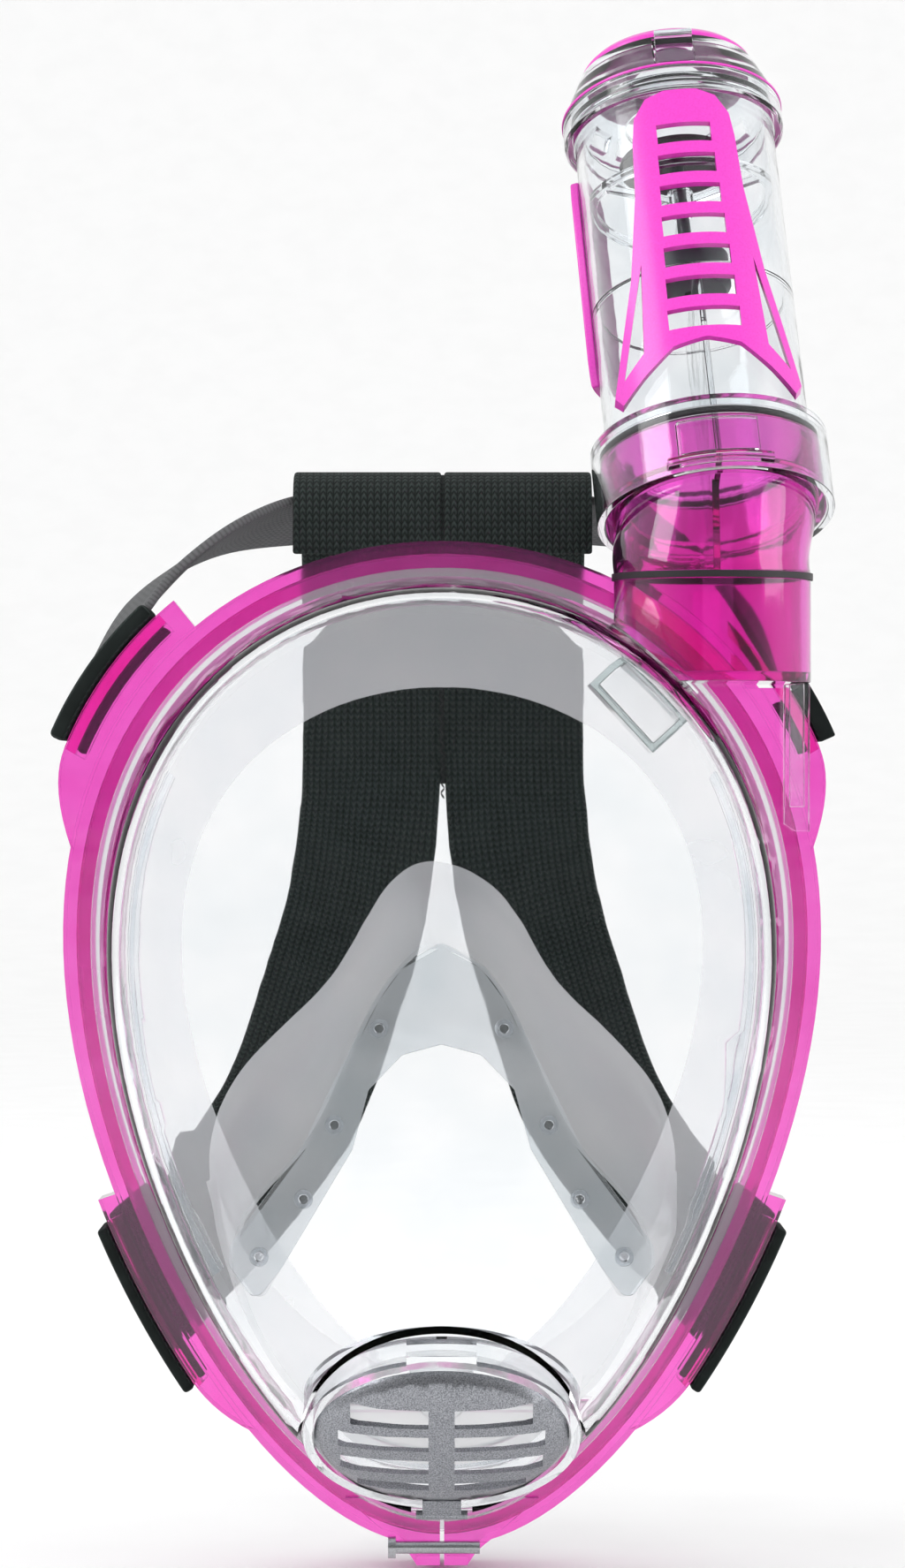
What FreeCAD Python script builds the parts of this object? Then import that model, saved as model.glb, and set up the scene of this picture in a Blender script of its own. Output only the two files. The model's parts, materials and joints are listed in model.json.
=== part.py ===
import FreeCAD, Part
import math
import os
import Sketcher
from FreeCAD import Placement, Rotation, Vector

# Full face snorkel mask. Millimetres, +Z up, the visor faces -Y, +X is the viewer's right.
# The origin is the centre of the face seal, whose rear lip lies in the plane y = 0.

doc = FreeCAD.newDocument("full_face_snorkel")

# ---------------------------------------------------------------- driving dimensions
sheet = doc.addObject("Spreadsheet::Sheet", "Sizes")
SIZES = [
    ("frame_half_width", 88, "egg outline of the frame, half width"),
    ("frame_half_height", 120, "egg outline of the frame, half height"),
    ("egg_taper", 0.24, "how much wider the egg is above its middle"),
    ("frame_front", -46, "front face of the frame, along Y"),
    ("frame_rear", -27, "rear face of the frame, along Y"),
    ("frame_wall", 3, "outer wall of the frame"),
    ("frame_lip", 6.4, "radial width of the frame's lips"),
    ("lip_thick", 2.4, "thickness of the frame's lips"),
    ("visor_wall", 2.4, "visor wall"),
    ("visor_rim", -80, "where the visor's side wall starts to round over"),
    ("visor_corner", 8, "radius of the visor's rounded edge"),
    ("visor_bulge", 4, "how far the visor's front bows out"),
    ("play", 0.3, "clearance between neighbouring pieces"),
    ("fastener_radius", 1.5, "chin screw shank"),
    ("purge_tilt", 35, "purge valve axis below the horizontal, degrees"),
    ("purge_half_width", 32, "purge housing, half width"),
    ("purge_half_height", 22.5, "purge housing, half height"),
    ("tube_radius", 24.5, "snorkel tube, outer radius"),
    ("tube_wall", 2, "snorkel tube wall"),
    ("tube_base", -12, "lower end of the tube, along the snorkel axis"),
    ("tube_joint", 40, "joint between the tube's two lengths"),
    ("tube_top", 90, "upper end of the tube"),
    ("socket_radius", 26.4, "junction socket, outer radius"),
    ("collar_radius", 28.4, "lock collar, outer radius"),
    ("collar_base", -16, "lower edge of the lock collar"),
    ("collar_top", 3, "upper edge of the lock collar"),
    ("oring_radius", 25.55, "O-ring, centre line radius"),
    ("oring_section", 0.8, "O-ring, section radius"),
    ("cap_radius", 27, "cap ring, outer radius"),
    ("cap_base", 86.5, "lower edge of the cap ring"),
    ("cap_line", 93.5, "upper edge of the cap ring"),
    ("cap_top", 104, "top of the clear cap shell"),
    ("cover_radius", 20.5, "cap cover radius"),
    ("stem_radius", 1.6, "float stem radius"),
    ("float_radius", 10, "float radius"),
    ("float_base", 44, "underside of the float"),
    ("float_height", 12, "float height"),
    ("seal_drop", 11, "underside of the float seal, below the tube top"),
    ("seal_radius", 14, "float seal radius"),
    ("junction_radius", 23.3, "junction cup, outer radius"),
    ("junction_floor", 86, "underside of the junction cup, along Z"),
    ("junction_split", 110.1, "top of the junction cup, along Z"),
    ("gasket_thick", 1.6, "junction gasket thickness"),
    ("strap_width", 37, "webbing width"),
    ("strap_thick", 2.2, "webbing thickness"),
    ("rivet_radius", 2.2, "rivet head radius"),
]
for row, (alias, value, meaning) in enumerate(SIZES, start=1):
    sheet.set(f"A{row}", meaning)
    sheet.set(f"B{row}", str(value))
    sheet.setAlias(f"B{row}", alias)
doc.recompute()
S = {alias: float(sheet.get(alias)) for alias, _, _ in SIZES}

X_AXIS = Vector(1, 0, 0)
Y_AXIS = Vector(0, 1, 0)
Z_AXIS = Vector(0, 0, 1)
NO_TURN = Rotation()

# The snorkel leans back and a little to the left. Its frame has Z along the tube and -Y to the front,
# with the origin at the O-ring plane. The purge valve's frame has Z along its outward axis.
SNORKEL_FOOT = Vector(64, -42, 140)
SNORKEL_AXIS = Vector(-0.08, 0.375, 0.924).normalize()
SNORKEL = Placement(SNORKEL_FOOT, Rotation(X_AXIS, Vector(), SNORKEL_AXIS, "ZXY"))
PURGE = Placement(Vector(0, -82, -86), Rotation(X_AXIS, 90 + S["purge_tilt"]))
JUNCTION_CENTRE = Vector(64, -53.7, 0)

nodes = []


def finish_node(obj, label, placement=None):
    """Name a sub-part and place it; its label is the name of its file."""
    obj.Label = label
    if placement is not None:
        obj.Placement = placement
    nodes.append(obj)
    return obj


def feature(label, shape, placement=None):
    """A free-form sub-part, shaped with Part's functions from the sheet's sizes."""
    obj = doc.addObject("Part::Feature", label + "_shape")
    obj.Shape = shape
    return finish_node(obj, label, placement)


# ---------------------------------------------------------------- parametric helper
def lathe(label, outline, placement=None):
    """PartDesign body turned about its axis; each corner is a size of the sheet plus an offset."""
    body = doc.addObject("PartDesign::Body", label + "_body")
    sketch = body.newObject("Sketcher::SketchObject", label + "_outline")
    plane = [f for f in body.Origin.OriginFeatures if f.Role == "XZ_Plane"][0]
    sketch.AttachmentSupport = [(plane, "")]
    sketch.MapMode = "FlatFace"
    corners = [Vector(S[radius] + dr, S[height] + dh, 0) for (radius, dr), (height, dh) in outline]
    count = len(corners)
    for i, corner in enumerate(corners):
        sketch.addGeometry(Part.LineSegment(corner, corners[(i + 1) % count]))
    for i in range(count):
        sketch.addConstraint(Sketcher.Constraint("Coincident", i, 2, (i + 1) % count, 1))
    for i, ends in enumerate(outline):
        for kind, value, (alias, offset) in zip(("DistanceX", "DistanceY"), corners[i], ends):
            index = sketch.addConstraint(Sketcher.Constraint(kind, i, 1, value))
            sketch.setExpression(f"Constraints[{index}]", f"Sizes.{alias} + {offset}")
    turn = body.newObject("PartDesign::Revolution", label + "_turn")
    turn.Profile = sketch
    turn.ReferenceAxis = (sketch, ["V_Axis"])
    turn.Angle = 360
    return finish_node(body, label, placement)


# ---------------------------------------------------------------- free-form helpers
EGG_POINTS = 28


def egg_point(half_width, half_height, angle, taper):
    return (half_width * math.cos(angle) * (1 + taper * math.sin(angle)), half_height * math.sin(angle))


def egg_wire(half_width, half_height, y, taper):
    """Closed egg outline in the plane at y."""
    points = []
    for i in range(EGG_POINTS):
        x, z = egg_point(half_width, half_height, 2 * math.pi * i / EGG_POINTS, taper)
        points.append(Vector(x, y, z))
    curve = Part.BSplineCurve()
    curve.interpolate(points, PeriodicFlag=True)
    return Part.Wire(curve.toShape())


def frame_egg(inset, y, scale=1.0):
    """The frame's egg, moved in by an inset and then scaled about the middle."""
    half_width = (S["frame_half_width"] - inset) * scale
    half_height = (S["frame_half_height"] - inset) * scale
    return egg_wire(half_width, half_height, y, S["egg_taper"])


def lug_blade(reach, low_deg, high_deg, y_front, y_rear):
    """Blade that swells out of the frame at its low end and stands out to a blunt tip at its high end."""
    outer = []
    inner = []
    steps = 10
    for i in range(steps + 1):
        angle = math.radians(low_deg + (high_deg - low_deg) * i / steps)
        rise = math.sin(min(i / steps / 0.35, 1) * math.pi / 2)
        for points, inset in ((outer, 0.8 - (reach + 0.8) * rise), (inner, 1.5)):
            half_width = S["frame_half_width"] - inset
            half_height = S["frame_half_height"] - inset
            x, z = egg_point(half_width, half_height, angle, S["egg_taper"])
            points.append(Vector(x, y_front, z))
    curves = []
    for points in (outer, inner):
        curve = Part.BSplineCurve()
        curve.interpolate(points)
        curves.append(curve.toShape())
    ends = [Part.makeLine(outer[0], inner[0]), Part.makeLine(outer[-1], inner[-1])]
    wire = Part.Wire(Part.__sortEdges__(curves + ends))
    return Part.Face(wire).extrude(Vector(0, y_rear - y_front, 0))


def egg_prism(inset, y_front, y_rear):
    return Part.Face(frame_egg(inset, y_front)).extrude(Vector(0, y_rear - y_front, 0))


def egg_strip(outer_inset, inner_inset, low_deg, high_deg, y_front, y_rear):
    """A stretch of egg-shaped band on the +X side, between two angles."""
    edges = []
    for inset in (outer_inset, inner_inset):
        points = []
        for i in range(9):
            angle = math.radians(low_deg + (high_deg - low_deg) * i / 8)
            half_width = S["frame_half_width"] - inset
            half_height = S["frame_half_height"] - inset
            x, z = egg_point(half_width, half_height, angle, S["egg_taper"])
            points.append(Vector(x, y_front, z))
        curve = Part.BSplineCurve()
        curve.interpolate(points)
        edges.append((curve.toShape(), points[0], points[-1]))
    (outer, outer_low, outer_high), (inner, inner_low, inner_high) = edges
    sides = [Part.makeLine(outer_low, inner_low), Part.makeLine(outer_high, inner_high)]
    wire = Part.Wire(Part.__sortEdges__([outer, inner] + sides))
    return Part.Face(wire).extrude(Vector(0, y_rear - y_front, 0))


def mirrored(shape):
    return shape.mirror(Vector(), X_AXIS)


def both_sides(shape):
    return [shape, mirrored(shape)]


def visor_solid(inset, back=0.0, rear=-40.6):
    """Solid inside the visor's outer skin, moved in by an inset."""
    side = 8 + inset
    rim_inset = side + 4.5
    corner = S["visor_corner"] - inset
    rings = [frame_egg(side, rear), frame_egg(side + 1, rear - 10), frame_egg(rim_inset, S["visor_rim"])]
    for step in range(1, 4):
        angle = math.radians(26 * step)
        reach = corner * math.sin(angle)
        rings.append(frame_egg(rim_inset + corner * (1 - math.cos(angle)), S["visor_rim"] - reach))
    front = S["visor_rim"] - corner
    for scale in (0.9, 0.7, 0.4, 0.1):
        y = front - S["visor_bulge"] * (1 - scale ** 2)
        rings.append(frame_egg(rim_inset + corner, y, scale))
    return Part.makeLoft(rings, True, True)


def smooth_loop(points):
    curve = Part.BSplineCurve()
    curve.interpolate(points, PeriodicFlag=True)
    return Part.Wire(curve.toShape())


def ellipse_prism(half_x, half_y, low, high, centre_y=0.0):
    edge = Part.Ellipse(Vector(0, centre_y, low), half_x, half_y).toShape()
    return Part.Face(Part.Wire(edge)).extrude(Vector(0, 0, high - low))


def box(size, centre):
    corner = Vector(centre[0] - size[0] / 2, centre[1] - size[1] / 2, centre[2] - size[2] / 2)
    return Part.makeBox(size[0], size[1], size[2], corner)


def placed(shape, placement):
    moved = shape.copy()
    moved.Placement = placement.multiply(moved.Placement)
    return moved


play = S["play"]
half_x = S["purge_half_width"]
half_y = S["purge_half_height"]
HINGE_RADIUS = 1.1
HINGE_HALF_LENGTH = 6
HINGE_CENTRE = Vector(0, -24.0, 4.6)


def purge_hinge(grow):
    """Hinge barrel at the lower edge of the purge cover, in the purge valve's frame."""
    half = HINGE_HALF_LENGTH + grow
    return Part.makeCylinder(HINGE_RADIUS + grow, 2 * half, HINGE_CENTRE - Vector(half, 0, 0), X_AXIS)


purge_room = placed(ellipse_prism(half_x + play, half_y + play, -30, 30).fuse(purge_hinge(1.1)), PURGE)


# ---------------------------------------------------------------- junction outlines
def round_wire(centre, radius, axis_tilt):
    """Circle as a smooth loop that starts at the same side whatever its tilt."""
    points = []
    for i in range(16):
        angle = 2 * math.pi * i / 16
        local = Vector(radius * math.cos(angle), radius * math.sin(angle), 0)
        points.append(centre + axis_tilt.multVec(local))
    return smooth_loop(points)


def snorkel_point(height):
    return SNORKEL.multVec(Vector(0, 0, height))


def keep_out(grow):
    """Visor and frame, grown a little: the junction wraps round them."""
    frame = egg_prism(-grow, S["frame_front"] - grow, S["frame_rear"] + grow)
    return visor_solid(-grow).fuse(frame)


junction_floor = S["junction_floor"]
junction_split = S["junction_split"]
elbow_floor = junction_split + S["gasket_thick"]


def junction_core(radius, low, high):
    return Part.makeCylinder(radius, high - low, JUNCTION_CENTRE + Vector(0, 0, low))


def junction_cup():
    wall = 2.2
    outer = junction_core(S["junction_radius"], junction_floor, junction_split)
    inner = junction_core(S["junction_radius"] - wall, junction_floor + wall, junction_split + 1)
    return outer.cut(keep_out(play)).cut(inner.cut(keep_out(play + wall)))


def elbow_solid(inset, low_extra, top):
    radius = S["junction_radius"] - inset
    rings = [
        round_wire(JUNCTION_CENTRE + Vector(0, 0, elbow_floor - low_extra), radius, NO_TURN),
        round_wire(JUNCTION_CENTRE + Vector(-0.3, 0.8, elbow_floor + 4), radius, NO_TURN),
        round_wire(snorkel_point(-16), 24 - inset, SNORKEL.Rotation),
        round_wire(snorkel_point(top), 24 - inset, SNORKEL.Rotation),
    ]
    return Part.makeLoft(rings, True, False)


# ---------------------------------------------------------------- visor, frame, skirt
DUCT = Placement(Vector(46.5, -56, 81.5), Rotation(Y_AXIS, 47.5))

# The junction stands in front of the right upper lug, so the lug and its webbing stop short of it.
junction_room = junction_core(S["junction_radius"] + 1, junction_floor - 1, elbow_floor + 20)


def visor():
    flange = egg_prism(3.3, -43.3, -40.6).cut(egg_prism(10.5, -44, -40))
    skin = visor_solid(0).cut(visor_solid(S["visor_wall"], rear=-40.0))
    port = placed(box((16, 9, 40), (0, 0, 18)), DUCT)
    return skin.fuse(flange).cut(purge_room).cut(port).removeSplitter()


SLOT_FRONT = -38.2
SLOT_TURN = -35.6


def strap_slot(outer_inset, inner_inset, low_deg, high_deg):
    """Slot that leads the webbing from the lug's outer edge, behind its front wall, out at its rear."""
    mouth = egg_strip(outer_inset - 9, inner_inset, low_deg, high_deg, SLOT_FRONT, SLOT_TURN)
    return mouth.fuse(egg_strip(outer_inset, inner_inset, low_deg, high_deg, SLOT_FRONT, -20))


def frame():
    front = S["frame_front"]
    rear = S["frame_rear"]
    lip = S["lip_thick"]
    shell = egg_prism(0, front, rear).cut(egg_prism(S["frame_lip"], front - 1, rear + 1))
    channel = egg_prism(S["frame_wall"], front + lip, rear - lip)
    pieces = []
    upper = lug_blade(7.8, 22, 56, -42, -30).cut(strap_slot(-5.4, -2.9, 33.5, 53.5))
    lower = lug_blade(5.0, -52, -17.5, -42, -30).cut(strap_slot(-3.6, -1.2, -41.5, -20))
    for lug in (upper, lower):
        pieces += [lug.cut(junction_room), mirrored(lug)]
    half = [(-23, -108), (-8, -121), (-6, -124), (6, -124), (8, -121), (23, -108)]
    outline = [Vector(x, front - 2, z) for x, z in half]
    boss = Part.Face(Part.makePolygon(outline + [outline[0]])).extrude(Vector(0, rear - front + 2, 0))
    boss = boss.cut(egg_prism(S["frame_lip"], front - 4, rear + 2))
    whole = shell.fuse(pieces + [boss]).cut(channel)
    split = box((1, 60, 30), (0, -36, -120))
    screw_hole = Part.makeCylinder(S["fastener_radius"] + 0.1, 60, Vector(-30, -49, -119.6), X_AXIS)
    return whole.cut([split, purge_room, screw_hole]).removeSplitter()


def skirt_solid(thick):
    rings = [
        (80 - thick, 112 - thick, -30.6, 0.24),
        (79.8 - thick, 111.6 - thick, -20, 0.24),
        (78 - thick, 109 - thick, -8 - thick, 0.25),
        (71 - thick / 2, 99 - thick / 2, -2 - thick, 0.27),
        (62.5, 87, 0.5 - thick, 0.3),
    ]
    return Part.makeLoft([egg_wire(a, b, y, taper) for a, b, y, taper in rings], True, True)


def skirt():
    outer = skirt_solid(0)
    opening = Part.Face(egg_wire(62, 86, -8, 0.3)).extrude(Vector(0, 12, 0))
    bead = egg_prism(3.4, -40.2, -30.4).cut(egg_prism(9, -41, -30))
    shell = outer.cut(skirt_solid(2.0)).cut(opening)
    rear = box((300, 20, 400), (0, 10, 0))
    return shell.fuse(bead).cut(rear).removeSplitter()


ARCH_REAR = [(0, 42.6), (18.3, 29.7), (27, 15), (38, 3.5), (54, -16), (57, -38), (44, -62),
             (22, -80), (0, -85)]
ARCH_FRONT = [(0, 25), (10.1, 19.6), (15.4, 12.3), (32.5, -22), (48, -44), (46, -58),
              (33, -80), (17, -94), (0, -98)]
PLATE_OUTER = [(0, 25.5), (10.1, 19.6), (15.4, 12.3), (32.5, -22.3), (48.6, -44.1),
               (49, -49), (44, -56), (41.7, -56)]
PLATE_INNER = [(36.4, -49), (20.5, -22.3), (16.8, -8.5), (9, -0.5), (0, 1.9)]
PLATE_REAR = -80.4
RIVETS = [(14.4, 5.6), (24.7, -16.6), (31.8, -33.7), (42, -47)]


def arch_loop(points, y, inset):
    """Closed loop through a half outline and its mirror image, moved in towards the mouth."""
    centre_z = -30.0
    right = []
    for x, z in points:
        reach = math.hypot(x, z - centre_z)
        shrink = (reach - inset) / reach
        right.append(Vector(x * shrink, y, centre_z + (z - centre_z) * shrink))
    left = [Vector(-p.x, p.y, p.z) for p in right[-2:0:-1]]
    return smooth_loop(right + left)


def pocket_solid(inset, reach):
    middle = [((a + c) / 2, (b + d) / 2) for (a, b), (c, d) in zip(ARCH_REAR, ARCH_FRONT)]
    loops = [
        arch_loop(ARCH_REAR, -4.2 + reach, inset),
        arch_loop(middle, -42, inset - 1.5),
        arch_loop(ARCH_FRONT, -80 - reach, inset),
    ]
    return Part.makeLoft(loops, True, False)


def plate_prism(thick, inset=0.0):
    right = [Vector(x - inset * 0.8, PLATE_REAR, z - inset * 0.3) for x, z in PLATE_OUTER[1:]]
    inner = [Vector(x, PLATE_REAR, z) for x, z in PLATE_INNER[:-1]]
    top = Vector(0, PLATE_REAR, PLATE_OUTER[0][1] - inset)
    bottom = Vector(0, PLATE_REAR, PLATE_INNER[-1][1])
    outline = [top] + right + inner + [bottom]
    outline += [Vector(-p.x, p.y, p.z) for p in reversed(right + inner)]
    face = Part.Face(Part.makePolygon(outline + [outline[0]]))
    solid = face.extrude(Vector(0, -thick, 0))
    edges = [e for e in solid.Edges if abs(e.Vertexes[0].Point.y - e.Vertexes[-1].Point.y) > thick / 2]
    return solid.makeFillet(2.0, edges)


def pocket():
    wall = pocket_solid(0, 0).cut(pocket_solid(1.8, 2))
    flange = plate_prism(1.8, 1.2)
    flange.translate(Vector(0, 2.0, 0))
    holes = [rivet_shank(x * side, z, S["rivet_radius"] * 0.5 + 0.1) for x, z in RIVETS for side in (1, -1)]
    whole = wall.fuse(flange).cut(holes).cut(purge_room)
    keep = visor_solid(S["visor_wall"] + play).fuse(box((300, 60, 400), (0, -20, 0)))
    return whole.common(keep).removeSplitter()


def rivet_shank(x, z, radius):
    return Part.makeCylinder(radius, 8, Vector(x, -84, z), Y_AXIS)


def rivets():
    solids = []
    for x, z in RIVETS:
        for side in (1, -1):
            shank = Part.makeCylinder(S["rivet_radius"] * 0.5, 5.4, Vector(x * side, -83.2, z), Y_AXIS)
            head = Part.makeCylinder(S["rivet_radius"], 1.0, Vector(x * side, -83.1, z), Y_AXIS)
            tail = Part.makeCylinder(S["rivet_radius"] * 0.8, 0.9, Vector(x * side, -78.3, z), Y_AXIS)
            solids.append(shank.fuse([head, tail]).removeSplitter())
    return Part.makeCompound(solids)


def stiffener():
    holes = [rivet_shank(x * side, z, S["rivet_radius"] * 0.5 + 0.1) for x, z in RIVETS for side in (1, -1)]
    return plate_prism(1.6).cut(holes)


skirt_shape = skirt()
feature("visor_lens", visor())
feature("main_frame", frame())
feature("face_skirt", skirt_shape)
feature("orinasal_pocket", pocket().cut(skirt_shape))
feature("pocket_stiffener", stiffener())
feature("stiffener_rivets", rivets())

CHIN_SCREW_LOW = Vector(-11, -49, -119.6)
screw_shank = Part.makeCylinder(S["fastener_radius"], 20, CHIN_SCREW_LOW, X_AXIS)
screw_head = Part.makeCylinder(2.6, 1.8, CHIN_SCREW_LOW - Vector(1.8, 0, 0), X_AXIS)
feature("chin_screw", screw_shank.fuse(screw_head).removeSplitter())

# ---------------------------------------------------------------- air ways
inside_visor = visor_solid(S["visor_wall"] + play, rear=-40.6)


def air_inlet_duct():
    walls = box((22, 22, 12.5), (0, 0, 0)).cut(box((18.6, 24, 9.1), (0, 0, 0)))
    throat = box((15.4, 8.4, 8), (0, 0, 7))
    return placed(walls.cut(throat), DUCT).common(inside_visor)


def air_channel():
    """Clear channel along the inside of the frame, hollow from end to end."""
    outside = egg_strip(11.2, 17, -32, 38, -36, -31.2)
    inside = egg_strip(12.4, 15.8, -34, 40, -34.8, -32.4)
    return outside.cut(inside)


def exhaust_pipe():
    shell = box((6, 5, 35), (84.2, -50.2, 68.2))
    bore = box((3.6, 2.6, 30), (84.2, -50.2, 71.5))
    tip_cut = box((12, 12, 14), (0, 0, 0))
    tip_cut.rotate(Vector(), Y_AXIS, 35)
    tip_cut.translate(Vector(78.2, -50.2, 46))
    return shell.cut(bore).cut(tip_cut)


feature("air_inlet_duct", air_inlet_duct())
flap_barrel = Part.makeCylinder(0.7, 17.8, Vector(-8.9, -11.9, 4.6), X_AXIS)
feature("inlet_flap", box((17.8, 1.0, 8.8), (0, -11.8, 0.2)).fuse(flap_barrel).removeSplitter(), DUCT)
feature("air_channel_left", mirrored(air_channel()))
feature("air_channel_right", air_channel())
feature("exhaust_pipe", exhaust_pipe())

# ---------------------------------------------------------------- junction
feature("junction_cup", junction_cup())
gasket_outer = junction_core(S["junction_radius"] + 0.5, junction_split + 0.02, elbow_floor - 0.02)
gasket_bore = junction_core(S["junction_radius"] - 3, junction_split - 1, elbow_floor + 1)
feature("junction_gasket", gasket_outer.cut(gasket_bore).cut(keep_out(play)))


def junction_elbow():
    socket_outer = Part.makeCylinder(S["socket_radius"], 14.2, Vector(0, 0, -15.6))
    socket_bore = Part.makeCylinder(S["tube_radius"] + play, 14.2, Vector(0, 0, -12.4))
    shell = elbow_solid(0, 0, -13).fuse(placed(socket_outer, SNORKEL))
    hollow = elbow_solid(2.4, 1, -11).fuse(placed(socket_bore, SNORKEL))
    return shell.cut(hollow).cut(keep_out(play)).removeSplitter()


def junction_divider(shell):
    slab = box((1.6, 120, 60), (64, -50, elbow_floor + 30))
    return slab.common(elbow_solid(3.4, 0, -15.8)).cut([keep_out(play), shell])


elbow_shell = junction_elbow()
feature("junction_elbow", elbow_shell)
feature("junction_divider", junction_divider(elbow_shell))

# ---------------------------------------------------------------- snorkel tube
SEPTUM_THICK = 1.4
PLATE_THICK = 2.2
PLATE_OUTLINE = [(4, 86), (8.5, 84.5), (11.5, 80), (12.3, 74), (13, 60), (16, 38), (22.2, 10), (20.5, 7),
                 (15, 12), (8, 17.5), (0.5, 19)]
SIDE_WINDOW = [(13.4, 41), (19.8, 13), (14.8, 18)]
SLOT_COUNT = 7
SLOT_PITCH = 8.3
SLOT_HEIGHT = 5.2


def septum():
    width = 2 * (S["tube_radius"] - S["tube_wall"] - 0.05)
    height = S["tube_joint"] + 1 - S["tube_base"]
    return box((SEPTUM_THICK, width, height), (0, 0, S["tube_base"] + height / 2))


def radial_prism(outline):
    """Prism that cuts a silhouette, seen from the front, out of the tube's skin."""
    points = [Vector(x, 0, z) for x, z in outline]
    return Part.Face(Part.makePolygon(points + [points[0]])).extrude(Vector(0, -40, 0))


def tube_skin():
    """Thin shell round the tube from which the panels are cut."""
    skin = Part.makeCylinder(S["tube_radius"] + PLATE_THICK, 100, Vector(0, 0, -5))
    return skin.cut(Part.makeCylinder(S["tube_radius"] + 0.1, 102, Vector(0, 0, -6)))


def tube_panel(cutters):
    outline = PLATE_OUTLINE + [(-x, z) for x, z in reversed(PLATE_OUTLINE)]
    return tube_skin().common(radial_prism(outline)).cut(cutters)


def panel_slots():
    cutters = []
    for i in range(SLOT_COUNT):
        half = 8.6 - 0.35 * i
        cutters.append(box((2 * half, 80, SLOT_HEIGHT), (0, -40, 24.5 + SLOT_PITCH * i)))
    for side in (1, -1):
        cutters.append(radial_prism([(x * side, z) for x, z in SIDE_WINDOW]))
    return cutters


def side_panel():
    """Narrow panel on the tube's left rear, of the same height as the front one."""
    outline = [(5, 80), (7, 74), (7, 30), (4, 24), (-4, 24), (-7, 30), (-7, 74), (-5, 80)]
    silhouette = radial_prism(outline)
    silhouette.rotate(Vector(), Z_AXIS, -112)
    return tube_skin().common(silhouette)


def straight_ring(label, inner, outer, low, high):
    """Plain ring of the snorkel from sizes of the sheet with offsets."""
    return lathe(label, [(inner, low), (outer, low), (outer, high), (inner, high)], SNORKEL)


TUBE_INNER = ("tube_radius", -S["tube_wall"])
TUBE_OUTER = ("tube_radius", 0)
straight_ring("tube_lower", TUBE_INNER, TUBE_OUTER, ("tube_base", 0), ("tube_joint", 0))
straight_ring("tube_upper", TUBE_INNER, TUBE_OUTER, ("tube_joint", 0.02), ("tube_top", 0))
feature("tube_septum", septum(), SNORKEL)
feature("front_tube_plate", tube_panel(panel_slots()), SNORKEL)
feature("side_tube_plate", side_panel(), SNORKEL)

oring = doc.addObject("Part::Torus", "oring_torus")
oring.setExpression("Radius1", "Sizes.oring_radius")
oring.setExpression("Radius2", "Sizes.oring_section")
finish_node(oring, "socket_oring", SNORKEL)

LATCH_HALF = 9.2
LATCH_LOW = -12
LATCH_HIGH = -3.4


def collar():
    low = S["collar_base"]
    skin = Part.makeCylinder(S["collar_radius"], S["collar_top"] - low, Vector(0, 0, low))
    skin = skin.cut(Part.makeCylinder(S["socket_radius"] + 0.3, -low + 0.9, Vector(0, 0, low - 0.1)))
    skin = skin.cut(Part.makeCylinder(S["tube_radius"] + 0.02, 40, Vector(0, 0, -20)))
    window_height = LATCH_HIGH - LATCH_LOW + 2 * play
    window = box((2 * (LATCH_HALF + play), 40, window_height), (0, -30, (LATCH_LOW + LATCH_HIGH) / 2))
    ledge_ring = Part.makeCylinder(S["collar_radius"] + 2.2, 2.0, Vector(0, 0, -14.8))
    ledge_ring = ledge_ring.cut(Part.makeCylinder(S["collar_radius"] - 0.5, 4, Vector(0, 0, -16)))
    ledge = ledge_ring.common(box((25, 40, 6), (0, -30, -14)))
    return skin.cut(window).fuse(ledge).removeSplitter()


def collar_latch():
    pad = Part.makeCylinder(S["collar_radius"] + 1.2, LATCH_HIGH - LATCH_LOW, Vector(0, 0, LATCH_LOW))
    pad = pad.cut(Part.makeCylinder(S["collar_radius"] - 0.3, 40, Vector(0, 0, -20)))
    return pad.common(box((2 * LATCH_HALF, 40, 20), (0, -30, -8)))


feature("lock_collar", collar(), SNORKEL)
feature("collar_latch", collar_latch(), SNORKEL)

# ---------------------------------------------------------------- dry top: cap and float
CAP_OUTER = ("cap_radius", 0)
CAP_INNER = ("tube_radius", 0.3)
lathe("cap_ring", [
    (CAP_INNER, ("cap_base", 0)),
    (("cap_radius", -0.8), ("cap_base", 0)),
    (CAP_OUTER, ("cap_base", 0.8)),
    (CAP_OUTER, ("cap_line", -0.6)),
    (CAP_INNER, ("cap_line", -0.6)),
], SNORKEL)
PORT_EDGE = ("seal_radius", -2.5)
straight_ring("cap_port_plate", PORT_EDGE, TUBE_OUTER, ("tube_top", 0.3), ("tube_top", 1.9))
line_seal = Part.makeCylinder(S["cap_radius"] + 0.2, 0.5, Vector(0, 0, S["cap_line"] - 0.58))
line_seal_bore = Part.makeCylinder(S["tube_radius"] + 0.3, 4, Vector(0, 0, S["cap_line"] - 2))
feature("cap_line_seal", line_seal.cut(line_seal_bore), SNORKEL)


def cap_shell():
    """Clear shell that narrows towards its top, open to the air through slots at its back."""
    low = S["cap_line"]
    height = S["cap_top"] - low
    outer = Part.makeCone(S["cap_radius"] - 0.2, S["cover_radius"] + 1.5, height, Vector(0, 0, low))
    inner = Part.makeCone(S["cap_radius"] - 2.2, S["cover_radius"] - 0.6, height - 1.8, Vector(0, 0, low))
    slots = []
    for turn in (-50, -25, 0, 25, 50):
        slot = box((7, 30, 4), (0, 25, low + 4))
        slot.rotate(Vector(), Z_AXIS, turn)
        slots.append(slot)
    latch_gap = box((9.8, 12, 9.6), (0, -27, low + 5.0))
    return outer.cut(inner).cut(slots + [latch_gap]).removeSplitter()


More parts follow.
